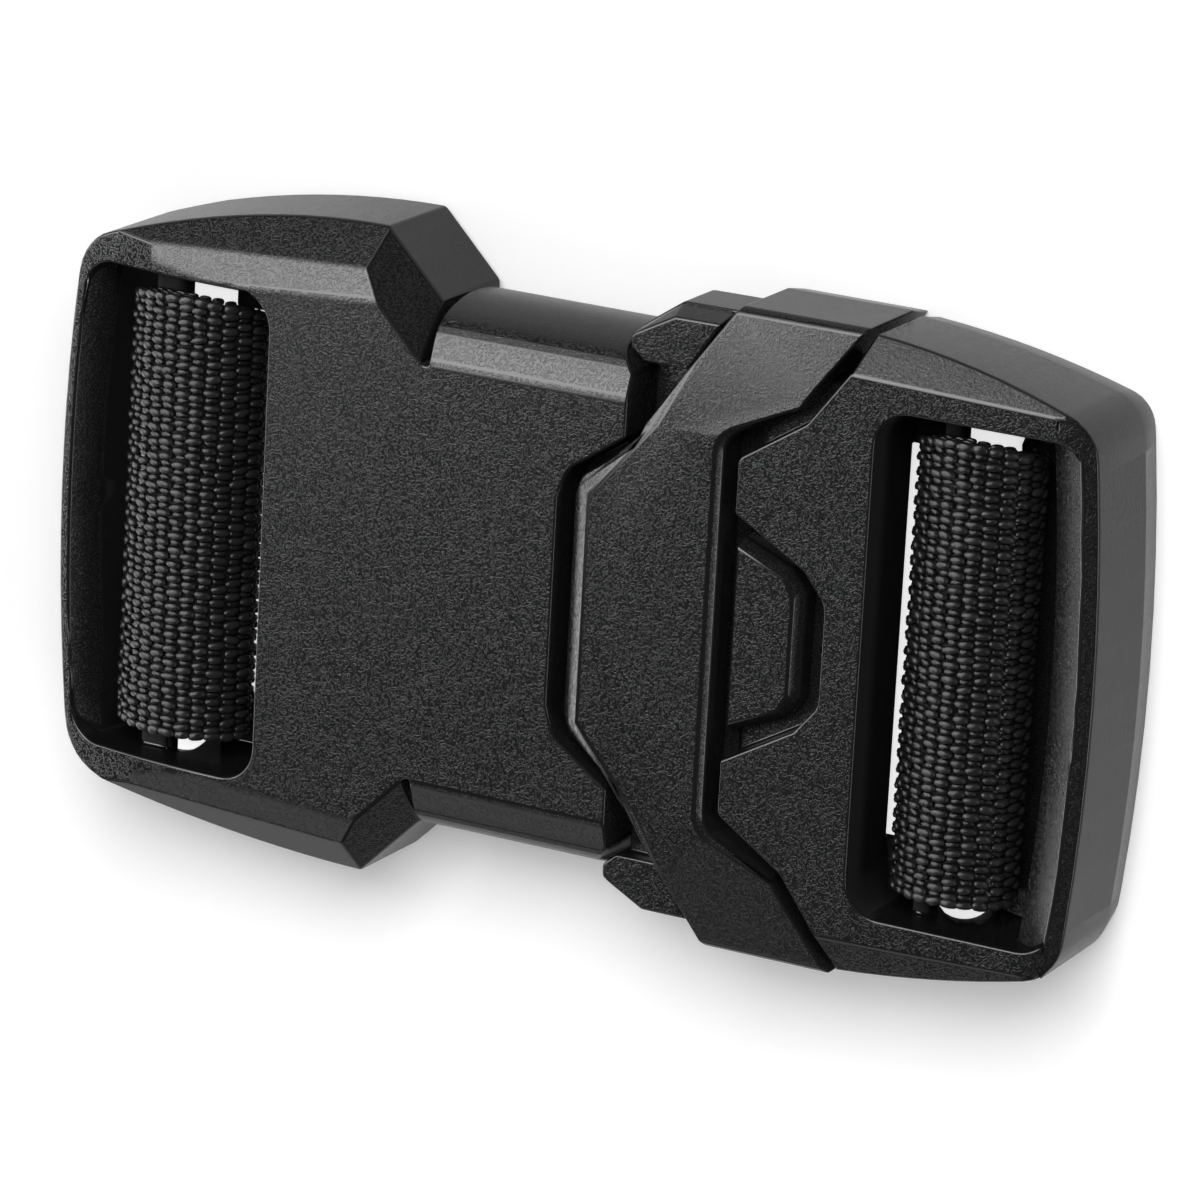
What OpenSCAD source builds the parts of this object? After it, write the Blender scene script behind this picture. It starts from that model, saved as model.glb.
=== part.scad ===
// Magnetic buckle for wide webbing, fastened and lying on its back with the front face up.
// X runs along the buckle from the left half to the right half, Y across it, Z up out of the front face.
// The origin is the middle of the length and width, at the back of the buckle.

/* [Overall] */
// Length over both end walls
total_l = 96.8; // [96:0.2:98]
// Height of the front face above the back
body_h = 14; // [13.5:0.25:15]

/* [Left half] */
// Half width of the left half at its shoulders
left_half_w = 27.8; // [27.4:0.2:28.6]
// Radius of the bowed side walls of the left half, seen from the front
left_side_r = 80; // [75:1:90]
// Radius of the bowed left end wall, seen from the front
left_end_r = 150; // [140:10:200]
// Radius of the two outer corners of the left half
left_corner_r = 5; // [3.5:0.1:5.4]
// Half width of the flat front face on the neck
neck_half_w = 18; // [17.6:0.1:18.2]
// Angle at which the back rises towards the left end
back_rise_deg = 22; // [14:1:24]

/* [Right half] */
// Half width of the right half where it is widest
right_half_w = 26.8; // [26.6:0.1:27.2]
// Radius of the bowed side walls of the right half, seen from the front
right_side_r = 86; // [80:1:95]
// Radius of the bowed right end wall, seen from the front
right_end_r = 180; // [150:10:250]
// Radius of the two outer corners of the right half
right_corner_r = 4; // [3:0.1:4.4]

/* [Collar] */
// Half width of the collar over its side walls
collar_half_w = 26.9; // [26.6:0.1:27]
// Height of the collar's front face above the front faces of the two halves
collar_rise = 0.2; // [0:0.05:0.4]
// Half width of the collar's flat front face
collar_flat_half_w = 16.4; // [15.8:0.1:16.8]

/* [Webbing] */
// Length of the left slot across the buckle
left_slot_l = 42; // [41:0.2:43]
// Length of the right slot across the buckle
right_slot_l = 41.8; // [41:0.2:42.4]
// Width of the webbing that is wrapped round each bar
strap_w = 38.4; // [37:0.2:39.4]
// Thickness of the webbing
strap_wall = 1.5; // [1.4:0.05:1.6]

/* [Hidden] */

half_l = total_l / 2;
far = 60;                   // reach of a cutting block beyond the part
thin = 0.01;                // height of a slice that only gives a hull its outline
plan_fn = 240;              // sides of the large circles of the outlines
corner_fn = 36;             // sides of the small round corners
plastic = [0.13, 0.13, 0.14];
yarn = [0.06, 0.06, 0.065];

// Left half: places along X, and what the bevels fall by
left_droop_x = -29.5;       // from here the front face bends down to the left end
left_droop_r = 70;
left_back_x = -37;          // from here the back rises to the left end
left_back_chamfer = 1;
shoulder_x = -18.2;
flank_wall_sum = 9.55;      // x + y on the outer wall of the slanted flank
flank_edge_sum = 5.1;       // x + y on the flank's edge with the front face
flank_slope = 48;
left_edge_y = 22.2;         // front face edge at the shoulder
ridge_y = 24.7;             // ridge between the two side bevels at the shoulder
ridge_drop = 0.75;
taper_deg = 3;              // both bevel lines close towards the left end by this angle
outer_bevel_slope = 43;
groove_x0 = -12.8;          // groove between the shoulder and the neck
groove_x1 = -12.0;
groove_core_y = 17.7;

// Neck: half width and depth below the front face round its side
NECK_OUT = 0;
NECK_DOWN = 1;
NECK_SIDE = [
    // out beyond the front face's edge, depth as a share of the body's height; a smooth curve joins them
    [0.0, 0.000],
    [2.4, 0.062],
    [3.6, 0.150],
    [4.3, 0.270],
    [4.7, 0.400],
    [4.8, 0.530],
    [4.6, 0.680],
    [4.0, 0.820],
    [2.8, 0.930],
    [0.8, 1.000],
];
neck_steps = 3;             // steps of that curve between two of its points
neck_end_x = 4.8;           // end of the neck's rounded sides and of its lower body
plate_end_x = 6.3;          // end of the front plate beside the V seam
NECK_END = [
    // x, half width of the neck's end behind its front plate
    [4.6, 22.8],
    [4.95, 21.6],
    [6.45, 19.8],
    [6.3, 18],
];
lower = [3.5, 10.2];        // z from and to of the body that reaches under the collar
V_SEAM = [
    // x, half width of the recess in the end of the front plate
    [6.3, 14.8],
    [1.2, 11.3],
    [0.4, 8.8],
];
seam_r = 2.4;               // rounding of the seam's corners

// Tongue of the left half in the pocket of the right half
tongue = [3.5, 20, 13.2, 5.0, 9.0];    // x from, x to, half width, z from, z to
pocket = [8, 22, 13.6, 4.6, 9.4];

// Left slot: strip of front face left beside it, and how its left wall runs inwards with depth
left_strip = 1.0;
left_slot_x1 = -27.2;
slot_corner_r = 3;
LEFT_SLOT_WALL = [
    // depth below the front face, inset of the end side wall
    [2.2, 0.0],
    [4.9, 1.5],
    [15.0, 2.6],
];
// Right slot: the same, with its wide chamfer at the end side and the sill below the webbing
right_strip = 1.3;
right_slot_x0 = 28.35;
RIGHT_SLOT_WALL = [
    [0.0, -0.4],
    [2.6, 3.3],
    [7.5, 3.6],
    [9.2, 9.3],
    [15.0, 9.6],
];
relief_depth = 7.2;         // the right slot's inner wall is cut away behind this depth
relief_run = 4.6;
relief_top_half = 17;       // its half length at the wall's rim, and at the back
relief_back_half = 20.2;
// Slanting scoop in the end walls of both slots, below the ends of the bars
left_scoop_x = -41.9;       // middle of the scoop at the back
right_scoop_x = 32.5;
scoop_out = 0.7;            // that middle lies this far beyond the slot's end
scoop_r = 2.6;
scoop_lean = 31.6;          // from upright, and the direction it leans in plan
scoop_run_deg = 32.4;
scoop_reach = 14;
// Thin ledges in the inner corners of the slots, below the webbing
LEFT_LEDGE = [-35.9, -26, 17.0, 3.2, 4.6];     // x from, x to, half width from, z from, z to
RIGHT_LEDGE = [26.5, 32.6, 16.6, 4.9, 6.2];
ledge_root = 1;             // its reach into the end wall

// Right half
right_centre_x = 20.3;      // where the right half is widest
right_wall_z = 4.35;        // foot of the side walls of the right half and the collar
right_back_inset = 1.0;
right_edge_y = 23.4;        // front face edge beside the collar
right_edge_deg = -1.6;
right_bevel_slope = 33;
edge_bevel_in = 0.45;       // narrow bevel round the front edge of the right half
edge_bevel_down = 0.3;
droop_run = 3.4;            // the front face bends down over this width beside the right end wall
droop_r = 8;
RIGHT_SEAM = [
    // x, half width along the edge that follows the collar
    [16.5, 1],
    [16.5, 14.95],
    [22.4, 18.8],
    [26.0, 23.6],
    [27.3, 27.2],
];
right_seam_r = 1;
core = [9.2, 20, 17.1, 3.5, 10.3];     // x from, x to, half width, z from, z to
core_root = [15.4, 24, 21.6, 3.5, 10.3];
NOTCH = [
    // x, half width of the recess that holds the thumb tab
    [16.0, 10.6],
    [22.9, 6.7],
    [24.9, 4.2],
    [24.9, 1],
];
notch_r = 1.6;
notch_floor = 10.6;

// Thumb tab: outline of its face, how far its sides slope out, and the depth of its face
TAB_FACE = [
    [16.5, 7.5],
    [20.95, 5.6],
    [21.75, 4.1],
    [21.75, 1],
];
TAB_BASE = [
    [16.5, 8.3],
    [21.2, 6.4],
    [22.6, 4.5],
    [22.6, 1],
];
tab_r = 0.9;
tab_drop = 0.7;
tab_slope_down = 1.1;
tab_gap = 0.1;

// Collar: its left and right edges, then its section
COLLAR_LEFT = [
    [1.65, 9.2],
    [2.3, 11.0],
    [7.2, 14.4],
    [7.9, 16.3],
    [15.2, 26.9],
];
COLLAR_RIGHT = [
    [26.6, 26.9],
    [22.2, 20.8],
    [21.5, 19.65],
];
COLLAR_MOUTH = [
    // x, half width of the step in the edge that faces the right half
    [30, 24.03],
    [15.1, 16.35],
];
mouth_r = 2.2;              // rounding of the corners of that step
collar_edge_x = 3.35;       // front face edge of the left chamfer
collar_diag = [6.95, 13.95];           // where the slanted chamfer beside it runs out
collar_diag_deg = 50;
collar_chamfer_slope = 28;
collar_right_chamfer = 0.6;
collar_ridge_in = 0.45;
collar_ridge_drop = 1.3;
collar_wall_drop = 1.9;
opening = [22.2, 3.2, 10.6];           // half width, z from, z to

// Release slider: wings beside the collar, rails in it, and the bridge that joins them
WING_FOOT = [
    [10.6, 20.8],
    [6.6, 20.8],
    [5.2, 21.8],
    [5.1, 23.2],
    [8.8, 25.8],
    [13.95, 25.8],
];
WING_FACE = [
    [10.6, 20.8],
    [6.6, 20.8],
    [5.4, 21.9],
    [5.45, 23.0],
    [9.2, 25.0],
    [13.4, 25.0],
];
wing_r = 0.5;               // rounding of the wings' corners
wing_drop = 1.85;           // depth of the wings' faces below the front face
wing_step_z = 9.8;          // parting groove round each wing
wing_groove = 0.35;
wing_lip = 0.15;            // the upper step of a wing stands back by this
wing_foot_z = 4.6;
rail = [8.0, 15, 17.4, 21.9, 3.5, 10.3];   // x from, x to, y from, y to, z from, z to
bridge_x = [6.9, 8.4];

// Webbing rolls: centre, half width and half depth of the outside, and the bar inside each
OVAL_N = 32;
LEFT_ROLL = [-36.9, 9.1, 5.9, 3.8];    // x, z, half width, half depth
RIGHT_ROLL = [35.85, 9.5, 5.1, 3.6];
roll_y = 0.3;               // the rolls sit this far off the middle of their slots
cut_skew = 18;              // slant of the cut at the upper end of each roll
BAR_X0 = 0;
BAR_X1 = 1;
BAR_T = 2;
LEFT_BAR = [-40.75, -37.5, 2.0];       // x from, x to, thickness
RIGHT_BAR = [32.5, 34.2, 1.6];

// Mirror the children across the middle of the width, and keep both
module both_sides() {
    children();
    mirror([0, 1, 0]) children();
}

// Close a list of [x, half width] points with its mirror image
function mirrored(pts) =
    concat(pts, [for (i = [len(pts) - 1 : -1 : 0]) [pts[i][0], -pts[i][1]]]);

function unit(v) = v / norm(v);

// Points of an arc that rounds the corner at b between its neighbours a and c
function corner(a, b, c, r, n = 8) =
    let (
        u = unit(a - b),
        v = unit(c - b),
        half = acos(u * v) / 2,
        middle = b + unit(u + v) * r / sin(half),
        from = b + u * r / tan(half) - middle,
        to = b + v * r / tan(half) - middle
    )
    [for (i = [0 : n - 1]) middle + r * unit(from * (1 - i / (n - 1)) + to * i / (n - 1))];

// Open path with its inner corners rounded
function soften(pts, r) = concat(
    [pts[0]],
    [for (i = [1 : len(pts) - 2]) each corner(pts[i - 1], pts[i], pts[i + 1], r)],
    [pts[len(pts) - 1]]
);

// Extrude an outline of y and z along X
module along_x(x0, x1) {
    translate([x0, 0, 0]) rotate([90, 0, 90]) linear_extrude(x1 - x0) children();
}

// Extrude an outline of x and z along Y, half to each side
module along_y(length) {
    translate([0, length / 2, 0]) rotate([90, 0, 0]) linear_extrude(length) children();
}

// Block given by x from, x to, half width, z from and z to
module band_block(b) {
    translate([b[0], -b[2], b[3]]) cube([b[1] - b[0], 2 * b[2], b[4] - b[3]]);
}

// Everything above a plane through a point that runs at an angle in plan and falls outwards
module above_plane(x, y, z, run_deg, slope) {
    translate([x, y, z]) rotate([0, 0, run_deg]) rotate([-slope, 0, 0])
        translate([-far, -far, 0]) cube([2 * far, 2 * far, far]);
}

// Slot outline with round corners, bounded on one side by a circle that follows the end wall
module slot_outline(x0, x1, length, centre_x, r) {
    offset(r = slot_corner_r, $fn = corner_fn) offset(delta = -slot_corner_r) intersection() {
        translate([x0, -length / 2]) square([x1 - x0, length]);
        translate([centre_x, 0]) circle(r = r, $fn = plan_fn);
    }
}

// Round block centred on an end wall's arc, drawn in as the slot's end side runs inwards with depth
module end_side_round(end_r, strip, wall) {
    rotate_extrude($fn = plan_fn) polygon(concat(
        [[0, -1]],
        [for (i = [len(wall) - 1 : -1 : 0]) [end_r - strip - wall[i][1], body_h - wall[i][0]]],
        [[end_r - strip - wall[0][1], body_h + 1], [0, body_h + 1]]
    ));
}

// Slanting scoop in both end walls of a slot, open at the back
module scoops(x, slot_l) {
    both_sides() translate([x, -slot_l / 2 - scoop_out, 0])
        rotate([0, 0, scoop_run_deg]) rotate([0, scoop_lean, 0])
            translate([0, 0, -2 * scoop_r]) cylinder(r = scoop_r, h = 2 * scoop_r + scoop_reach, $fn = 48);
}

module left_slot() {
    outline_r = left_end_r - left_strip - LEFT_SLOT_WALL[0][1];
    intersection() {
        translate([0, 0, -1]) linear_extrude(body_h + 2)
            slot_outline(-half_l, left_slot_x1, left_slot_l, left_end_r - half_l, outline_r);
        translate([left_end_r - half_l, 0, 0]) end_side_round(left_end_r, left_strip, LEFT_SLOT_WALL);
    }
    scoops(left_scoop_x, left_slot_l);
}

module right_slot() {
    outline_r = right_end_r - right_strip - RIGHT_SLOT_WALL[0][1];
    intersection() {
        translate([0, 0, -1]) linear_extrude(body_h + 2)
            slot_outline(right_slot_x0, half_l, right_slot_l, half_l - right_end_r, outline_r);
        translate([half_l - right_end_r, 0, 0]) end_side_round(right_end_r, right_strip, RIGHT_SLOT_WALL);
    }
    scoops(right_scoop_x, right_slot_l);
    hull() {
        translate([0, 0, body_h - relief_depth - thin])
            band_block([right_slot_x0, right_slot_x0 + 1, relief_top_half, 0, thin]);
        band_block([right_slot_x0 - relief_run, right_slot_x0 + 1, relief_back_half, -1, thin - 1]);
    }
}

// Bar across a slot that the webbing is wrapped round, flat with round edges
module bar(section, z, slot_l) {
    r = section[BAR_T] / 2;
    x0 = section[BAR_X0] + r;
    x1 = section[BAR_X1] - r;
    for (x = [x0, x1])
        translate([x, slot_l / 2 + 1, z]) rotate([90, 0, 0]) cylinder(r = r, h = slot_l + 2, $fn = 24);
    translate([x0, -slot_l / 2 - 1, z - r]) cube([x1 - x0, slot_l + 2, 2 * r]);
}

module ledges(b, slot_l) {
    both_sides() translate([b[0], b[2], b[3]])
        cube([b[1] - b[0], slot_l / 2 + ledge_root - b[2], b[4] - b[3]]);
}

// Outline of the left half from the front: bowed sides, bowed end, slanted flanks
module left_outline() {
    groove_y = flank_wall_sum - groove_x0;
    intersection() {
        offset(r = left_corner_r, $fn = corner_fn) offset(delta = -left_corner_r) intersection() {
            translate([shoulder_x, left_half_w - left_side_r]) circle(r = left_side_r, $fn = plan_fn);
            translate([shoulder_x, left_side_r - left_half_w]) circle(r = left_side_r, $fn = plan_fn);
            translate([left_end_r - half_l, 0]) circle(r = left_end_r, $fn = plan_fn);
        }
        polygon(mirrored([
            [-far, far],
            [flank_wall_sum - far, far],
            [groove_x0, groove_y],
        ]));
    }
}

// Shoulder block of the left half with its bevels, bent front and rising back
module left_block() {
    difference() {
        hull() {
            translate([0, 0, left_back_chamfer]) linear_extrude(body_h - left_back_chamfer) left_outline();
            linear_extrude(thin) offset(delta = -left_back_chamfer) left_outline();
        }
        both_sides() {
            above_plane(shoulder_x, left_edge_y, body_h, taper_deg,
                        atan(ridge_drop / (ridge_y - left_edge_y)));
            above_plane(shoulder_x, ridge_y, body_h - ridge_drop, taper_deg, outer_bevel_slope);
            above_plane(flank_edge_sum - left_edge_y, left_edge_y, body_h, -45, flank_slope);
        }
        along_y(2 * far) difference() {
            translate([-far, body_h - 10]) square([far + left_droop_x, 20]);
            translate([left_droop_x, body_h - left_droop_r]) circle(r = left_droop_r, $fn = plan_fn);
        }
        translate([left_back_x, 0, 0]) rotate([0, back_rise_deg, 0])
            translate([-far, -far, -far]) cube([far, 2 * far, far]);
    }
}

// Point between b and c on a smooth curve through a, b, c and d
function curve_at(a, b, c, d, t) =
    b + (c - a) * t / 2 + (a - 2.5 * b + 2 * c - d / 2) * t * t + (3 * (b - c) + d - a) / 2 * t * t * t;

// Smooth curve through all points of an open path, in n steps from point to point
function smooth(pts, n) =
    let (
        last = len(pts) - 1,
        all = concat([2 * pts[0] - pts[1]], pts, [2 * pts[last] - pts[last - 1]])
    )
    concat(
        [for (i = [1 : last], k = [0 : n - 1]) curve_at(all[i - 1], all[i], all[i + 1], all[i + 2], k / n)],
        [pts[last]]
    );

// Half of the neck's section, as y and z
function neck_half() =
    [for (p = smooth(NECK_SIDE, neck_steps)) [neck_half_w + p[NECK_OUT], body_h * (1 - p[NECK_DOWN])]];

module neck_section() {
    half = neck_half();
    polygon(concat(half, [for (i = [len(half) - 1 : -1 : 0]) [-half[i][0], half[i][1]]]));
}

module neck() {
    intersection() {
        along_x(groove_x1, plate_end_x) neck_section();
        union() {
            band_block([groove_x1, neck_end_x, far, lower[0], lower[1]]);
            linear_extrude(body_h) difference() {
                polygon(mirrored(concat([[groove_x1, far], [NECK_END[0][0], far]], NECK_END)));
                polygon(mirrored(concat([V_SEAM[0] + [1, 0.7]], soften(V_SEAM, seam_r))));
            }
        }
    }
}

module left_frame() {
    color(plastic) {
        difference() {
            union() {
                left_block();
                band_block([groove_x0 - 1, groove_x1 + 1, groove_core_y, 0, body_h]);
                neck();
                band_block(tongue);
            }
            left_slot();
        }
        bar(LEFT_BAR, LEFT_ROLL[1], left_slot_l);
        ledges(LEFT_LEDGE, left_slot_l);
    }
}

// Outline of the right half from the front
module right_outline() {
    offset(r = right_corner_r, $fn = corner_fn) offset(delta = -right_corner_r) intersection() {
        translate([right_centre_x, right_half_w - right_side_r]) circle(r = right_side_r, $fn = plan_fn);
        translate([right_centre_x, right_side_r - right_half_w]) circle(r = right_side_r, $fn = plan_fn);
        translate([half_l - right_end_r, 0]) circle(r = right_end_r, $fn = plan_fn);
    }
}

module right_block() {
    difference() {
        intersection() {
            hull() {
                linear_extrude(thin) offset(delta = -right_back_inset) right_outline();
                translate([0, 0, right_wall_z])
                    linear_extrude(body_h - edge_bevel_down - right_wall_z) right_outline();
                translate([0, 0, body_h - thin]) linear_extrude(thin) offset(delta = -edge_bevel_in) right_outline();
            }
            linear_extrude(body_h) polygon(mirrored(concat(soften(RIGHT_SEAM, right_seam_r), [[far, far]])));
        }
        both_sides() above_plane(RIGHT_SEAM[3][0], right_edge_y, body_h, right_edge_deg, right_bevel_slope);
        translate([half_l - right_end_r, 0, 0]) rotate_extrude($fn = plan_fn)
            translate([right_end_r - droop_run, body_h - droop_r]) difference() {
                square([2 * droop_run, 2 * droop_r]);
                circle(r = droop_r, $fn = plan_fn);
            }
    }
}

module right_frame() {
    color(plastic) {
        difference() {
            union() {
                right_block();
                band_block(core);
                band_block(core_root);
            }
            right_slot();
            band_block(pocket);
            translate([0, 0, notch_floor]) linear_extrude(body_h) polygon(mirrored(soften(NOTCH, notch_r)));
        }
        bar(RIGHT_BAR, RIGHT_ROLL[1], right_slot_l);
        ledges(RIGHT_LEDGE, right_slot_l);
    }
}

// Thumb tab: a low pad with sloped sides, flat where it meets the collar's groove
module thumb_tab() {
    face_z = body_h - tab_drop;
    foot_z = notch_floor + tab_gap;
    color(plastic) hull() {
        translate([0, 0, face_z - thin]) linear_extrude(thin) polygon(mirrored(soften(TAB_FACE, tab_r)));
        translate([0, 0, foot_z]) linear_extrude(face_z - tab_slope_down - foot_z)
            polygon(mirrored(soften(TAB_BASE, tab_r)));
    }
}

// Section of the collar across the buckle
module collar_section() {
    top = body_h + collar_rise;
    half = [
        [collar_flat_half_w, top],
        [collar_half_w - collar_ridge_in, body_h - collar_ridge_drop],
        [collar_half_w, body_h - collar_wall_drop],
        [collar_half_w, right_wall_z],
        [collar_half_w - right_back_inset, 0],
    ];
    polygon(concat(half, [for (i = [len(half) - 1 : -1 : 0]) [-half[i][0], half[i][1]]]));
}

// Round-cornered step in the collar's edge towards the right half, grown by a margin
module collar_mouth(grow) {
    run = atan2(COLLAR_MOUTH[0][1] - COLLAR_MOUTH[1][1], COLLAR_MOUTH[0][0] - COLLAR_MOUTH[1][0]);
    far_end = COLLAR_MOUTH[0] + grow * [0, 1 / cos(run)];
    corner_at = COLLAR_MOUTH[1] + grow * [-1, 1 / cos(run) - tan(run)];
    polygon(soften(mirrored([far_end, corner_at]), mouth_r + grow));
}

module collar() {
    top = body_h + collar_rise;
    color(plastic) difference() {
        intersection() {
            along_x(0, half_l) collar_section();
            linear_extrude(2 * body_h) polygon(mirrored(concat(COLLAR_LEFT, COLLAR_RIGHT)));
        }
        translate([0, -opening[0], opening[1]]) cube([half_l, 2 * opening[0], opening[2] - opening[1]]);
        above_plane(collar_edge_x, 0, top, 90, collar_chamfer_slope);
        both_sides() above_plane(collar_diag[0], collar_diag[1], top, collar_diag_deg, collar_chamfer_slope);
        translate([0, 0, -1]) linear_extrude(body_h + 2) collar_mouth(0);
        hull() {
            translate([0, 0, top - collar_right_chamfer]) linear_extrude(thin) collar_mouth(0);
            translate([0, 0, top]) linear_extrude(thin) collar_mouth(collar_right_chamfer);
        }
    }
}

// One wing of the slider on the +Y side, in two steps with a parting groove between them
module wing() {
    foot = soften(WING_FOOT, wing_r);
    face = soften(WING_FACE, wing_r);
    translate([0, 0, wing_foot_z]) linear_extrude(wing_step_z - wing_foot_z) polygon(foot);
    translate([0, 0, wing_step_z - thin]) linear_extrude(wing_groove + 2 * thin)
        offset(delta = -wing_groove) polygon(foot);
    hull() {
        translate([0, 0, wing_step_z + wing_groove]) linear_extrude(thin) offset(delta = -wing_lip) polygon(foot);
        translate([0, 0, body_h - wing_drop - thin]) linear_extrude(thin) polygon(face);
    }
}

module release_slider() {
    color(plastic) {
        both_sides() {
            wing();
            translate([rail[0], rail[2], rail[4]])
                cube([rail[1] - rail[0], rail[3] - rail[2], rail[5] - rail[4]]);
        }
        difference() {
            band_block([bridge_x[0], bridge_x[1], rail[3], rail[4], rail[5]]);
            band_block(pocket - [2, 0, 0, 0, 0]);
        }
    }
}

// Oval outline, worked out from its half width and half depth
function oval(a, b) = [for (i = [0 : OVAL_N - 1]) [a * cos(360 * i / OVAL_N), b * sin(360 * i / OVAL_N)]];

// Webbing wrapped round a bar as a hollow oval roll, with one slanted cut end
module webbing_roll(roll) {
    color(yarn) translate([roll[0], roll_y, roll[1]]) difference() {
        along_y(strap_w) difference() {
            polygon(oval(roll[2], roll[3]));
            polygon(oval(roll[2] - strap_wall, roll[3] - strap_wall));
        }
        translate([0, strap_w / 2, roll[3]]) rotate([-cut_skew, 0, 0])
            translate([-far, 0, -far]) cube([2 * far, far, 2 * far]);
    }
}

module left_webbing() {
    webbing_roll(LEFT_ROLL);
}

module right_webbing() {
    webbing_roll(RIGHT_ROLL);
}

left_frame();
left_webbing();
collar();
release_slider();
thumb_tab();
right_frame();
right_webbing();
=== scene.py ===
import math

import bmesh
import bpy
import numpy as np
from mathutils import Matrix, Vector
from mathutils.bvhtree import BVHTree


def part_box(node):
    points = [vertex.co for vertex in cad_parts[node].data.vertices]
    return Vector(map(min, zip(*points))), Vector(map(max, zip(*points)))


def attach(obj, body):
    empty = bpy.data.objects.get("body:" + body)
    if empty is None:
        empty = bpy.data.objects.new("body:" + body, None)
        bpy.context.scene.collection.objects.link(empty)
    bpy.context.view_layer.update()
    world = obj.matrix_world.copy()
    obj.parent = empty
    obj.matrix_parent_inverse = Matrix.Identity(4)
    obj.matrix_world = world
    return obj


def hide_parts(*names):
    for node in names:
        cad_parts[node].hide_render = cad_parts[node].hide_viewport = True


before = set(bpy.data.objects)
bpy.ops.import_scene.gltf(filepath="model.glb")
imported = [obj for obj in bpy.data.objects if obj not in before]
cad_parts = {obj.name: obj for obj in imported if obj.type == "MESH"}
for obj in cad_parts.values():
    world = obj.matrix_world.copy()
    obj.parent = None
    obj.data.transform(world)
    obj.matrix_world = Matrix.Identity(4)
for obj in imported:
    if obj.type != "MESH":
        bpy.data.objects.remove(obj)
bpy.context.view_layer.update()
MM = 0.001


# Camera. The photograph was taken from above the front face, from the right and a little from the
# upper side, with a long lens; place and turn come from points paired on both sides of the buckle.
CAMERA_AT = Vector((255.8, 160.2, 496.3)) * MM
TO_CAMERA = Vector((0.4430, 0.2810, 0.8514)).normalized()
IMAGE_UP = Vector((-0.1783, 0.9583, -0.2235))
LENS_MM = 210.2
SENSOR_MM = 36.0

camera_data = bpy.data.cameras.new("photo_camera")
camera_data.sensor_width = SENSOR_MM
camera_data.lens = LENS_MM
camera_data.clip_start = 0.01
camera_data.clip_end = 20.0
camera = bpy.data.objects.new("photo_camera", camera_data)
bpy.context.collection.objects.link(camera)
image_right = IMAGE_UP.cross(TO_CAMERA).normalized()
image_up = TO_CAMERA.cross(image_right).normalized()
turn = Matrix((image_right, image_up, TO_CAMERA)).transposed().to_4x4()
camera.matrix_world = Matrix.Translation(CAMERA_AT) @ turn
bpy.context.scene.camera = camera
bpy.context.scene.view_settings.view_transform = "Standard"


# Floor. A white sheet lit by the lamps from above, with painted glow that lights nothing: the sheet glows
# for the camera only, and the patches under the two slots glow more, so that the gaps in the slots are as
# white as the sheet around the buckle.
FLOOR_SIZE = 6.0
FLOOR_SINK = 0.02 * MM      # the sheet lies this far under the buckle
FLOOR_WHITE = 0.86
SEEN_WHITER = 0.09          # painted: the sheet is whiter by this as seen, and darker by the next in reflections
MIRRORED_DARKER = 0.14
FLOOR_GLOW = 0.14           # painted glow of the sheet, seen by the camera only
MIRRORED_GLOW = 0.05        # painted glow of the sheet in reflections, outside the patches
UNDER_GLOW = 0.60           # painted glow that the patches under the two slots add, as seen by the camera
UNDER_SLOT = {"X": (0.0350, 0.0042), "Y": (-0.0040, 0.0205)}    # middle and half size of a patch
UNDER_SHIFT = 0.0053        # the two patches lie this far to the left of an even pair
UNDER_EDGE = 0.0045         # width of their soft edge

bpy.ops.object.select_all(action="DESELECT")
bpy.ops.mesh.primitive_grid_add(x_subdivisions=8, y_subdivisions=8, size=FLOOR_SIZE,
                                location=(0, 0, -FLOOR_SINK))
floor = bpy.context.object
# The sheet's glow and its whiter and darker looks are painted light.
floor.name = "painted_glow_floor"
bpy.ops.object.transform_apply(location=True, rotation=True, scale=True)
table_mat = bpy.data.materials.new("painted_glow_sheet")
table_mat.use_nodes = True
table_shader = table_mat.node_tree.nodes["Principled BSDF"]
table_shader.inputs["Roughness"].default_value = 0.9
table_shader.inputs["Specular IOR Level"].default_value = 0.0
table_shader.inputs["Emission Color"].default_value = (1, 1, 1, 1)
sheet = table_mat.node_tree


def link(tree, out, into):
    tree.links.new(out, into)


def math_node(tree, operation, a, b=None, clamp=False):
    """Math node on sockets or numbers."""
    node = tree.nodes.new("ShaderNodeMath")
    node.operation = operation
    node.use_clamp = clamp
    for socket, value in zip(node.inputs, (a, b)):
        if value is None:
            continue
        if isinstance(value, (int, float)):
            socket.default_value = value
        else:
            tree.links.new(value, socket)
    return node.outputs[0]


across = sheet.nodes.new("ShaderNodeSeparateXYZ")
link(sheet, sheet.nodes.new("ShaderNodeTexCoord").outputs["Object"], across.inputs[0])
patch = 1.0                 # one inside the patches and nought outside
for axis, (middle, half) in UNDER_SLOT.items():
    aside = across.outputs[axis]
    if axis == "X":
        aside = math_node(sheet, "ABSOLUTE", math_node(sheet, "ADD", aside, UNDER_SHIFT))
    fade = sheet.nodes.new("ShaderNodeMapRange")
    fade.interpolation_type = "SMOOTHSTEP"
    fade.inputs["From Min"].default_value = half
    fade.inputs["From Max"].default_value = half + UNDER_EDGE
    fade.inputs["To Min"].default_value = 1.0
    fade.inputs["To Max"].default_value = 0.0
    off_middle = math_node(sheet, "ABSOLUTE", math_node(sheet, "SUBTRACT", aside, middle))
    link(sheet, off_middle, fade.inputs["Value"])
    patch = math_node(sheet, "MULTIPLY", fade.outputs[0], patch)
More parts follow.
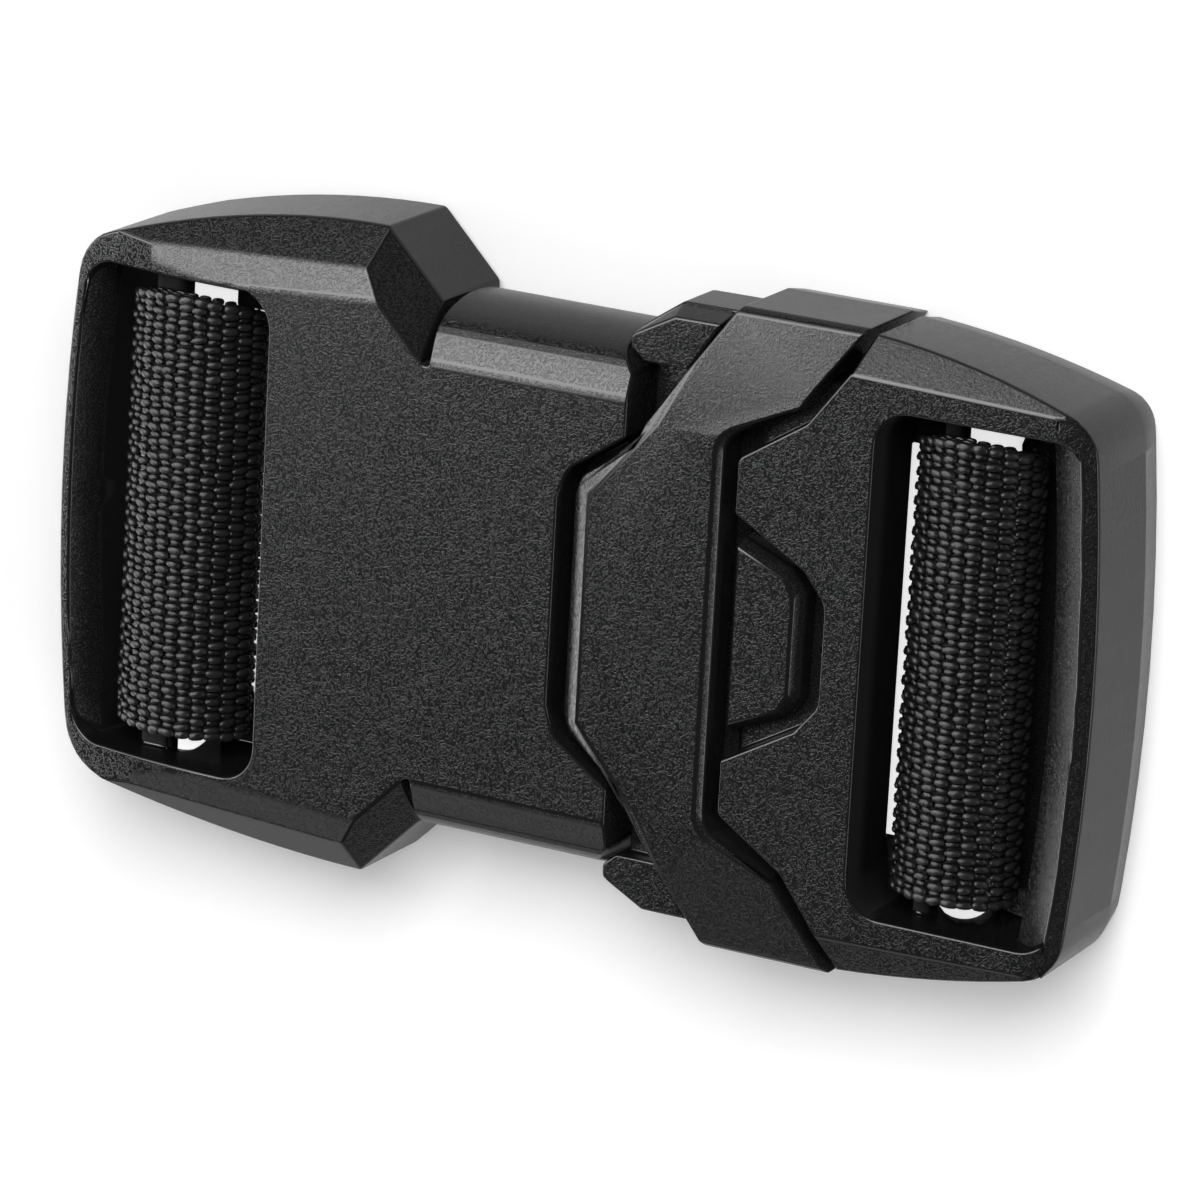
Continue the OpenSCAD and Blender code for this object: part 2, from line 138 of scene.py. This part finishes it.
# Painted glow, seen by the camera and in reflections only, and a sheet painted whiter as seen and darker in
# reflections.
ray = sheet.nodes.new("ShaderNodeLightPath")
as_seen = math_node(sheet, "ADD", math_node(sheet, "MULTIPLY", patch, UNDER_GLOW), FLOOR_GLOW)
as_seen = math_node(sheet, "MULTIPLY", as_seen, ray.outputs["Is Camera Ray"])
as_mirrored = math_node(sheet, "MULTIPLY", math_node(sheet, "SUBTRACT", 1.0, patch), MIRRORED_GLOW)
as_mirrored = math_node(sheet, "MULTIPLY", as_mirrored, ray.outputs["Is Glossy Ray"])
link(sheet, math_node(sheet, "ADD", as_seen, as_mirrored), table_shader.inputs["Emission Strength"])
whiter = math_node(sheet, "MULTIPLY", ray.outputs["Is Camera Ray"], SEEN_WHITER)
darker = math_node(sheet, "MULTIPLY", ray.outputs["Is Glossy Ray"], MIRRORED_DARKER)
white = math_node(sheet, "SUBTRACT", math_node(sheet, "ADD", whiter, FLOOR_WHITE), darker)
link(sheet, white, table_shader.inputs["Base Color"])
floor.data.materials.append(table_mat)


# Studio light. A key lamp from the upper side makes the soft shadow on the lower side. The gloss comes
# from a tall softbox above the upper side, which the shallow upper bevels reflect, and from low cards.
def softbox(name, towards, distance, width, height, radiance, gloss=True, diffuse=True):
    """Flat lamp of an even brightness, facing the buckle from a direction. It can be left out of the
    reflections, or out of the light that falls on matt surfaces."""
    data = bpy.data.lights.new(name, "AREA")
    data.shape = "RECTANGLE"
    data.size = width
    data.size_y = height
    data.energy = radiance * math.pi * width * height
    lamp = bpy.data.objects.new(name, data)
    bpy.context.collection.objects.link(lamp)
    away = Vector(towards).normalized()
    lamp.location = away * distance
    lamp.rotation_euler = away.to_track_quat("Z", "Y").to_euler()
    lamp.visible_glossy = gloss
    lamp.visible_diffuse = diffuse


softbox("upper_key", (0.28, 0.54, 0.79), 1.20, 0.70, 0.70, 8.6, gloss=False)
softbox("tall_softbox", (-0.47, 0.345, 0.812), 0.80, 0.70, 0.42, 12.0, diffuse=False)
softbox("lower_edge_strip", (-0.47, 0.18, 0.865), 0.80, 0.70, 0.08, 6.0, diffuse=False)
softbox("outer_card", (-0.47, 0.75, 0.46), 0.80, 0.70, 0.20, 3.0, diffuse=False)
softbox("left_low_card", (-0.952, -0.281, 0.12), 0.90, 0.60, 0.22, 8.5, diffuse=False)
softbox("left_upper_card", (-0.88, 0.15, 0.45), 0.90, 0.45, 0.35, 10.0, diffuse=False)
softbox("lower_card", (-0.443, -0.75, 0.50), 0.90, 0.50, 0.40, 1.5, diffuse=False)
softbox("right_card", (0.93, -0.20, 0.30), 1.10, 0.60, 0.25, 7.0)

ROOM_FILL = 0.30            # brightness of the room on matt surfaces
ROOM_GLOSS = 0.05           # brightness of the room in reflections
world = bpy.data.worlds.new("studio_room")
bpy.context.scene.world = world
world.use_nodes = True
room = world.node_tree
room.nodes.clear()
light_path = room.nodes.new("ShaderNodeLightPath")
room_out = room.nodes.new("ShaderNodeOutputWorld")


def background(grey):
    """Even grey room."""
    node = room.nodes.new("ShaderNodeBackground")
    node.inputs["Color"].default_value = (grey, grey, grey, 1)
    return node.outputs["Background"]


def either(ray, no, yes):
    """Background that differs for one kind of ray."""
    node = room.nodes.new("ShaderNodeMixShader")
    link(room, light_path.outputs[ray], node.inputs["Fac"])
    link(room, no, node.inputs[1])
    link(room, yes, node.inputs[2])
    return node.outputs["Shader"]


lit = either("Is Glossy Ray", background(ROOM_FILL), background(ROOM_GLOSS))
link(room, either("Is Camera Ray", lit, background(1.0)), room_out.inputs["Surface"])


# Left half of the buckle. Injection-moulded black plastic with a fine leather grain on its outside,
# smooth walls in the webbing slot, and every moulded edge slightly rounded.
TRIANGLE_JOIN = 0.002 * MM  # joins the loose triangles of a CAD node
EDGE_ROUND = 0.22 * MM      # rounding of the moulded edges
SOFT_ROUND = 0.45 * MM      # wider rounding where two faces meet at a shallow angle
SOFT_BELOW = 24             # a shallower angle than this, in degrees, gets the wide rounding
SOFT_LENGTH = 3 * MM        # shallow edges shorter than this stay crisp
EDGE_FROM = 11              # steps below this, in degrees, belong to one smooth curve
EDGE_FULL = 16              # the wide rounding fades out between the two angles
FACE_SAME = 0.4             # faces within this angle, in degrees, are one flat face
STRIP_STEP = 8              # roundings that turn by more than this from strip to strip have no grain
CORNER_JOIN = 0.08 * MM     # corners closer than this are one, so that no face is narrower than its rounding
SLIVER = 0.09 * MM          # faces narrower than this are taken out
STRAY = 0.19 * MM           # corners of a rounding this far off the moulded surface are put back on it
UPRIGHT = 0.9               # an edge that rises more than this is an upright one
SLOT_HALF = 24.6            # half the length of the slots, with room for their rounded ends, in millimetres
WALL_FACING = 0.3           # slot walls face up or down by less than this
BAR_HALF = 20.7             # half the length of the bars, in millimetres
BARS = ((-42.0, -27.5, 11.0), (28.0, 35.5, 11.5))       # from, to and top of the bars, in millimetres
LEFT_SLOT = (-47.3, -27.0)  # from and to of the slots with their walls, in millimetres
RIGHT_SLOT = (23.0, 47.3)
MIDDLE_CUT = ("y", 0.0)     # cuts through flat faces that have a hole in them
LEFT_CUT = ("x", -39.1)
RIGHT_CUT = ("x", 33.35)
ROUND_STEPS = 3             # strips of a rounding


def only(obj):
    """Select one object and nothing else."""
    bpy.ops.object.select_all(action="DESELECT")
    obj.select_set(True)
    bpy.context.view_layer.objects.active = obj


def edge_weight(edge):
    """Share of the wide rounding that an edge gets, from its angle and its direction."""
    angle = math.degrees(edge.calc_face_angle(0.0))
    run = (edge.verts[0].co - edge.verts[1].co).normalized()
    if angle < EDGE_FROM or (angle < SOFT_BELOW and (abs(run.z) > UPRIGHT or edge.calc_length() < SOFT_LENGTH)):
        return 0.0
    if angle >= SOFT_BELOW:
        return EDGE_ROUND / SOFT_ROUND
    return min(1.0, (angle - EDGE_FROM) / (EDGE_FULL - EDGE_FROM))


def in_slot_depth(at):
    """Whether a place, in millimetres, is on one of the bars or ledges in the slots."""
    return abs(at.y) < BAR_HALF and any(x0 < at.x < x1 and at.z < top for x0, x1, top in BARS)


def moulded(node, name, cuts=(), polished=lambda at, normal: False):
    """Copy of a CAD node with rounded edges, and masks of the faces that have no grain and of the dull bars.
    cuts are the planes, as (axis, place), that divide the flat faces which have a slot or a bar in them."""
    piece = bpy.data.objects.new(name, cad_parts[node].data.copy())
    bpy.context.collection.objects.link(piece)
    mesh = piece.data
    mesh.materials.clear()
    mesh.materials.append(plastic)
    mesh.materials.append(plastic)
    only(piece)
    bpy.ops.object.mode_set(mode="EDIT")
    bpy.ops.mesh.select_all(action="SELECT")
    bpy.ops.mesh.remove_doubles(threshold=TRIANGLE_JOIN)
    for axis, place in cuts:
        bpy.ops.mesh.select_all(action="SELECT")
        facing = [1.0 if axis == letter else 0.0 for letter in "xyz"]
        bpy.ops.mesh.bisect(plane_co=[c * place * MM for c in facing], plane_no=facing)
        bpy.ops.mesh.mark_seam(clear=False)
    bpy.ops.mesh.select_all(action="SELECT")
    bpy.ops.mesh.dissolve_limited(angle_limit=math.radians(FACE_SAME), delimit={"SEAM"})
    bpy.ops.mesh.select_all(action="SELECT")
    bpy.ops.mesh.remove_doubles(threshold=CORNER_JOIN)
    bpy.ops.mesh.select_all(action="SELECT")
    bpy.ops.mesh.dissolve_degenerate(threshold=SLIVER)
    bpy.ops.mesh.customdata_custom_splitnormals_clear()
    shape = bmesh.from_edit_mesh(mesh)
    weight = shape.edges.layers.float.new("bevel_weight_edge")
    for edge in shape.edges:
        if edge.is_manifold:
            edge[weight] = edge_weight(edge)
    bmesh.update_edit_mesh(mesh)
    bpy.ops.object.mode_set(mode="OBJECT")
    bpy.ops.object.shade_smooth()
    rounding = piece.modifiers.new("rounded edges", "BEVEL")
    rounding.limit_method = "WEIGHT"
    rounding.width = SOFT_ROUND
    rounding.segments = ROUND_STEPS
    rounding.miter_outer = "MITER_ARC"
    rounding.use_clamp_overlap = False
    rounding.material = 1
    bpy.ops.object.modifier_apply(modifier=rounding.name)
    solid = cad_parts[node].data
    surface = BVHTree.FromPolygons([v.co for v in solid.vertices], [p.vertices[:] for p in solid.polygons])
    for vertex in mesh.vertices:
        at, _, _, off = surface.find_nearest(vertex.co)
        if off > STRAY:
            vertex.co = at
    normals = piece.modifiers.new("flat faces stay flat", "WEIGHTED_NORMAL")
    normals.weight = 100
    bpy.ops.object.modifier_apply(modifier=normals.name)
    shape = bmesh.new()
    shape.from_mesh(mesh)
    turn = [max((e.calc_face_angle(0.0) for e in f.edges), default=0.0) for f in shape.faces]
    shape.free()
    no_grain_mask = mesh.attributes.new("no_grain", "FLOAT", "FACE")
    bar_dust_mask = mesh.attributes.new("bar_dust", "FLOAT", "FACE")
    for face in mesh.polygons:
        tight = face.material_index == 1 and math.degrees(turn[face.index]) > STRIP_STEP
        plain = tight or polished(face.center / MM, face.normal)
        no_grain_mask.data[face.index].value = 1.0 if plain else 0.0
        bar_dust_mask.data[face.index].value = 1.0 if in_slot_depth(face.center / MM) else 0.0
        face.material_index = 0
    mesh.materials.pop(index=1)
    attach(piece, "root")
    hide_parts(node)


# The grain is a net of short curled ridges, as contour lines of a smooth noise, with lighter tops: the lighter
# ridge tone is a painted highlight on the ridges.
GRAIN_SCALE = 3300
GRAIN_CURL = 0.4            # roughness and distortion of the noise
GRAIN_RINGS = 3.6           # contour lines over the noise's whole range
GRAIN_SHARP = 3.5           # narrows the ridges
FINE_SCALE = 9000
FINE_SHARE = 0.2            # height of the fine roughness between the ridges, as a share of theirs
GRAIN_HEIGHT = 0.012 * MM
GRAIN_STRENGTH = 0.9
SMOOTH_LOSS = 0.9           # share of the grain that the smooth faces lack
BLOTCH_SCALE = 60
BLOTCH_TONE = 0.12          # how far the cloudy unevenness goes towards the ridge tone
BASE_TONE = (0.0060, 0.0061, 0.0063, 1)
# The ridge tone, lighter than the base, is a painted highlight on the tops of the grain ridges.
RIDGE_TONE = (0.0150, 0.0152, 0.0157, 1)
PLASTIC_ROUGH = 0.185
BLOTCH_ROUGH = 0.06
SMOOTH_GAIN = 0.02          # the smooth faces are less rough by this
DUST_ROUGH = 0.75           # the dull bars are rougher by this
PLASTIC_IOR = 1.34

plastic = bpy.data.materials.new("black_moulded_plastic")
plastic.use_nodes = True
tree = plastic.node_tree
shader = tree.nodes["Principled BSDF"]
place = tree.nodes.new("ShaderNodeTexCoord").outputs["Object"]


def noise(scale, detail):
    """Noise in the piece's own space."""
    node = tree.nodes.new("ShaderNodeTexNoise")
    node.inputs["Scale"].default_value = scale
    node.inputs["Detail"].default_value = detail
    link(tree, place, node.inputs["Vector"])
    return node


def mask(name):
    """Value of a named attribute of the piece."""
    node = tree.nodes.new("ShaderNodeAttribute")
    node.attribute_name = name
    return node.outputs["Fac"]


no_grain = mask("no_grain")
field = noise(GRAIN_SCALE, 1.0)
field.inputs["Roughness"].default_value = GRAIN_CURL
field.inputs["Distortion"].default_value = GRAIN_CURL
waves = math_node(tree, "PINGPONG", math_node(tree, "MULTIPLY", field.outputs["Fac"], GRAIN_RINGS), 0.5)
ridge = math_node(tree, "SUBTRACT", 1.0, math_node(tree, "MULTIPLY", waves, 2.0))
ridge = math_node(tree, "POWER", ridge, GRAIN_SHARP)
fine = noise(FINE_SCALE, 2.0).outputs["Fac"]
grain_share = math_node(tree, "SUBTRACT", 1.0, math_node(tree, "MULTIPLY", no_grain, SMOOTH_LOSS))
height = math_node(tree, "ADD", ridge, math_node(tree, "MULTIPLY", fine, FINE_SHARE))
height = math_node(tree, "MULTIPLY", height, grain_share)
bump = tree.nodes.new("ShaderNodeBump")
bump.inputs["Strength"].default_value = GRAIN_STRENGTH
bump.inputs["Distance"].default_value = GRAIN_HEIGHT
link(tree, height, bump.inputs["Height"])
link(tree, bump.outputs["Normal"], shader.inputs["Normal"])
blotch = noise(BLOTCH_SCALE, 3.0).outputs["Fac"]
tone = tree.nodes.new("ShaderNodeValToRGB")
tone.color_ramp.elements[0].color = BASE_TONE
tone.color_ramp.elements[1].color = RIDGE_TONE
# Painted highlight: the ridge tops take the lighter ridge tone, and the cloudy blotches add a random tone.
ridge_sheen_and_blotch = math_node(tree, "MULTIPLY", ridge, grain_share)
ridge_sheen_and_blotch = math_node(tree, "ADD", ridge_sheen_and_blotch, math_node(tree, "MULTIPLY", blotch, BLOTCH_TONE), clamp=True)
link(tree, ridge_sheen_and_blotch, tone.inputs["Fac"])
link(tree, tone.outputs["Color"], shader.inputs["Base Color"])
rough = math_node(tree, "ADD", PLASTIC_ROUGH, math_node(tree, "MULTIPLY", blotch, BLOTCH_ROUGH))
rough = math_node(tree, "SUBTRACT", rough, math_node(tree, "MULTIPLY", no_grain, SMOOTH_GAIN))
rough = math_node(tree, "ADD", rough, math_node(tree, "MULTIPLY", mask("bar_dust"), DUST_ROUGH))
link(tree, rough, shader.inputs["Roughness"])
shader.inputs["IOR"].default_value = PLASTIC_IOR


def slot_wall(x0, x1):
    """Test for the smooth faces of the webbing slot between two places along the buckle."""
    def inside(at, normal):
        inwards = normal.x * ((x0 + x1) / 2 - at.x) - normal.y * at.y
        wall = x0 < at.x < x1 and abs(at.y) < SLOT_HALF and abs(normal.z) < WALL_FACING and inwards > 0
        return wall or in_slot_depth(at)
    return inside


moulded("left_frame", "left_half", [MIDDLE_CUT, LEFT_CUT], slot_wall(*LEFT_SLOT))


# Right half of the buckle. The same grained plastic; its end strip bends down to the end wall, and its
# webbing slot has a wide smooth chamfer on the end side.
moulded("right_frame", "right_half", [MIDDLE_CUT, RIGHT_CUT], slot_wall(*RIGHT_SLOT))


# Collar. A moulded band in the same plastic that closes over the joint, with a chamfer on both edges.
moulded("collar", "collar_band", [MIDDLE_CUT])


# Release slider. Its two wings stand out beside the collar, each in two steps with a parting groove.
moulded("release_slider", "release_wings")


# Thumb tab. A low pad with sloped sides in the recess of the right half.
moulded("thumb_tab", "thumb_pad")


# Webbing rolls. Plain-woven strap wrapped round the bar of each slot: thick glossy yarns run round the
# roll, and show as large beads where they pass over the warp and as small ones where they dip under it.
# A dark sleeve under the beads closes the gaps between them.
ROW_PITCH = 0.62 * MM       # from yarn to yarn along the bar
COLUMN_PITCH = 1.28 * MM    # from warp to warp round the roll
OVER_HALF = (0.70 * MM, 0.355 * MM, 0.36 * MM)      # half sizes: round the bar, along it, outwards
UNDER_HALF = (0.58 * MM, 0.27 * MM, 0.30 * MM)
END_HALF = (0.74 * MM, 0.42 * MM, 0.40 * MM)
OVER_PROUD = 0.07 * MM      # bead centres stand out of the oval by this
UNDER_PROUD = -0.07 * MM
END_SLANT = math.tan(math.radians(18))              # the upper end falls back towards the back
BEAD_SQUARE = 0.82          # below one, the beads are squarer than an oval
BODY_SINK = 0.14 * MM       # the dark body lies under the oval by this
STRAP_WALL = 1.5 * MM
ROLL_SAMPLES = 720
BEAD_TURN = 0.09            # spread of the beads' turn, size and place
BEAD_VARY = 0.07
BEAD_STIR = 0.022 * MM
ROUND_STIR = 0.05 * MM
END_LAYERS = (0.45 * MM, 1.05 * MM)     # depths of the two rings of small beads on the cut ends
END_SET = 0.25 * MM         # the rings lie this far inside the ends
BODY_SET = 0.2 * MM         # and the body this far
BODY_STEPS = 96
# The beads that dip under the warp get darker tones than those that pass over it: painted shade in the dips.
# Within each range the tone varies at random.
OVER_TONE = (0.4, 1.0)      # spread of the tones of the beads
UNDER_TONE = (0.0, 0.5)
END_TONE = (0.3, 1.0)
SMOOTH_BELOW = 50           # in degrees
FIBRE_SCALE = 3.0
FIBRE_CURL = 1.5
FIBRE_HEIGHT = 0.02 * MM
FIBRE_STRENGTH = 0.35
YARN_TONES = (0.006, 0.006, 0.0065, 1), (0.014, 0.014, 0.015, 1)
YARN_ROUGH = 0.20
YARN_ROUGH_VARY = 0.10
YARN_IOR = 1.34

yarn = bpy.data.materials.new("black_glossy_yarn")
yarn.use_nodes = True
tree = yarn.node_tree
shader = tree.nodes["Principled BSDF"]
fibre_uv = tree.nodes.new("ShaderNodeUVMap")
fibre_uv.uv_map = "yarn"
fibre = tree.nodes.new("ShaderNodeTexWave")
fibre.wave_type = "BANDS"
fibre.bands_direction = "DIAGONAL"
fibre.inputs["Scale"].default_value = FIBRE_SCALE
fibre.inputs["Distortion"].default_value = FIBRE_CURL
link(tree, fibre_uv.outputs["UV"], fibre.inputs["Vector"])
bump = tree.nodes.new("ShaderNodeBump")
bump.inputs["Strength"].default_value = FIBRE_STRENGTH
bump.inputs["Distance"].default_value = FIBRE_HEIGHT
link(tree, fibre.outputs["Fac"], bump.inputs["Height"])
link(tree, bump.outputs["Normal"], shader.inputs["Normal"])
bead_tone = mask("bead_tone")
tone = tree.nodes.new("ShaderNodeValToRGB")
for element, color in zip(tone.color_ramp.elements, YARN_TONES):
    element.color = color
link(tree, bead_tone, tone.inputs["Fac"])
link(tree, tone.outputs["Color"], shader.inputs["Base Color"])
rough = math_node(tree, "ADD", YARN_ROUGH, math_node(tree, "MULTIPLY", bead_tone, YARN_ROUGH_VARY))
link(tree, rough, shader.inputs["Roughness"])
shader.inputs["IOR"].default_value = YARN_IOR

# One bead, a rounded block, modelled once
bpy.ops.object.select_all(action="DESELECT")
bpy.ops.mesh.primitive_uv_sphere_add(segments=8, ring_count=6, radius=1.0, rotation=(0, math.pi / 2, 0))
bead = bpy.context.object
bpy.ops.object.transform_apply(location=True, rotation=True, scale=True)
bead_points = np.array([v.co[:] for v in bead.data.vertices])
bead_points = np.sign(bead_points) * np.abs(bead_points) ** BEAD_SQUARE
bead_faces = [tuple(p.vertices) for p in bead.data.polygons]
bpy.data.objects.remove(bead)


def oval_points(half_w, half_d):
    """Evenly spaced points of an oval, with their outward normals, as (along, x, z, nx, nz)."""
    t = np.linspace(0, 2 * math.pi, ROLL_SAMPLES + 1)
    x, z = half_w * np.cos(t), half_d * np.sin(t)
    along = np.concatenate([[0], np.cumsum(np.hypot(np.diff(x), np.diff(z)))])
    n = np.stack([np.cos(t) / half_w, np.sin(t) / half_d], axis=1)
    n /= np.linalg.norm(n, axis=1)[:, None]
    return along, x, z, n


def webbing(node, name, seed, askew=0.0, aside=0.0):
    """Body and beads of one roll, in the place of its CAD node. askew, in degrees, and aside turn and move it
    a little in its slot."""
    low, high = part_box(node)
    centre = (Vector(low) + Vector(high)) / 2
    half_w, half_d = (high[0] - low[0]) / 2, (high[2] - low[2]) / 2
    random = np.random.default_rng(seed)
    along, ox, oz, normal = oval_points(half_w, half_d)
    columns = 2 * round(along[-1] / COLUMN_PITCH / 2)
    points, faces, tones = [], [], []

    def oval_at(s):
        """Point of the oval and its outward direction, at a length round it."""
        out = np.array([np.interp(s, along, normal[:, 0]), 0.0, np.interp(s, along, normal[:, 1])])
        at = np.array([centre.x + np.interp(s, along, ox), 0.0, centre.z + np.interp(s, along, oz)])
        return at, out / np.linalg.norm(out)

    def upper_end(z):
        return high[1] - (high[2] - z) * END_SLANT

    def place_bead(at, out, around, axis, size, tone):
        turn = random.normal(0, BEAD_TURN)
        a = around * math.cos(turn) + axis * math.sin(turn)
        b = axis * math.cos(turn) - around * math.sin(turn)
        size = size * (1 + random.normal(0, BEAD_VARY, 3))
        at = at + random.normal(0, BEAD_STIR, 3)
        start = len(points) * len(bead_points)
        points.append(at + bead_points @ (np.stack([a, b, out]) * size[:, None]))
        faces.extend(tuple(i + start for i in f) for f in bead_faces)
        tones.append(tone)

    lay = np.array([0.0, 1.0, 0.0])
    for column in range(columns):
        at, out = oval_at(along[-1] * (column + 0.5) / columns)
        around = np.array([-out[2], 0.0, out[0]])
        y0, y1 = low[1] + END_HALF[1], upper_end(at[2]) - END_HALF[1]
        rows = round((y1 - y0) / ROW_PITCH)
        for row in range(rows + 1):
            at[1] = y0 + (y1 - y0) * row / rows
            shift = around * random.normal(0, ROUND_STIR)
            if row in (0, rows):
                place_bead(at + shift, out, around, lay, np.array(END_HALF), random.uniform(*END_TONE))
            elif (row + column) % 2:
                place_bead(at + shift + out * OVER_PROUD, out, around, lay, np.array(OVER_HALF),
                           random.uniform(*OVER_TONE))
            # Small beads that dip under the warp, with darker tones as painted shade.
            else:
                place_bead(at + shift + out * UNDER_PROUD, out, around, lay, np.array(UNDER_HALF),
                           random.uniform(*UNDER_TONE))
        for depth in END_LAYERS:
            for y, side in ((low[1] + END_SET, -1.0), (upper_end(at[2]) - END_SET, 1.0)):
                inner = at - out * depth
                inner[1] = y
                place_bead(inner, lay * side, around, out, np.array(UNDER_HALF), random.uniform(*UNDER_TONE))
    beads = len(points)
    points = np.concatenate(points)
    mesh = bpy.data.meshes.new(name)
    ring = []
    for inset in (BODY_SINK, STRAP_WALL):
        for upper in (False, True):
            for i in range(BODY_STEPS):
                at, out = oval_at(along[-1] * i / BODY_STEPS)
                at = at - out * inset
                at[1] = upper_end(at[2]) - BODY_SET if upper else low[1] + BODY_SET
                ring.append(at)
    start = len(points)
    for i in range(BODY_STEPS):
        j = (i + 1) % BODY_STEPS
        outer0, outer1, inner0, inner1 = (start + k * BODY_STEPS for k in range(4))
        faces.append((outer0 + i, outer1 + i, outer1 + j, outer0 + j))
        faces.append((inner0 + i, inner0 + j, inner1 + j, inner1 + i))
        faces.append((outer0 + i, outer0 + j, inner0 + j, inner0 + i))
        faces.append((outer1 + i, inner1 + i, inner1 + j, outer1 + j))
    points = np.concatenate([points, np.array(ring)])
    middle = np.array([centre.x, centre.y, 0.0])
    slew = np.array(Matrix.Rotation(math.radians(askew), 3, "Z"))
    points = (points - middle) @ slew.T + middle + np.array([aside, 0.0, 0.0])
    mesh.from_pydata(points.tolist(), [], faces)
    mesh.update()
    piece = bpy.data.objects.new(name, mesh)
    bpy.context.collection.objects.link(piece)
    tone_mask = mesh.attributes.new("bead_tone", "FLOAT", "POINT")
    values = np.concatenate([np.repeat(tones, len(bead_points)), np.zeros(len(ring))])
    tone_mask.data.foreach_set("value", values.astype(np.float32))
    uv = mesh.uv_layers.new(name="yarn")
    local = np.concatenate([np.tile(bead_points[:, :2], (beads, 1)), np.zeros((len(ring), 2))])
    corner = np.empty(len(mesh.loops), dtype=np.int32)
    mesh.loops.foreach_get("vertex_index", corner)
    uv.data.foreach_set("uv", local[corner].astype(np.float32).ravel())
    mesh.materials.append(yarn)
    only(piece)
    bpy.ops.object.shade_smooth_by_angle(angle=math.radians(SMOOTH_BELOW))
    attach(piece, "root")
    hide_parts(node)


webbing("left_webbing", "left_roll", seed=11, askew=-0.5, aside=0.3 * MM)
webbing("right_webbing", "right_roll", seed=12)
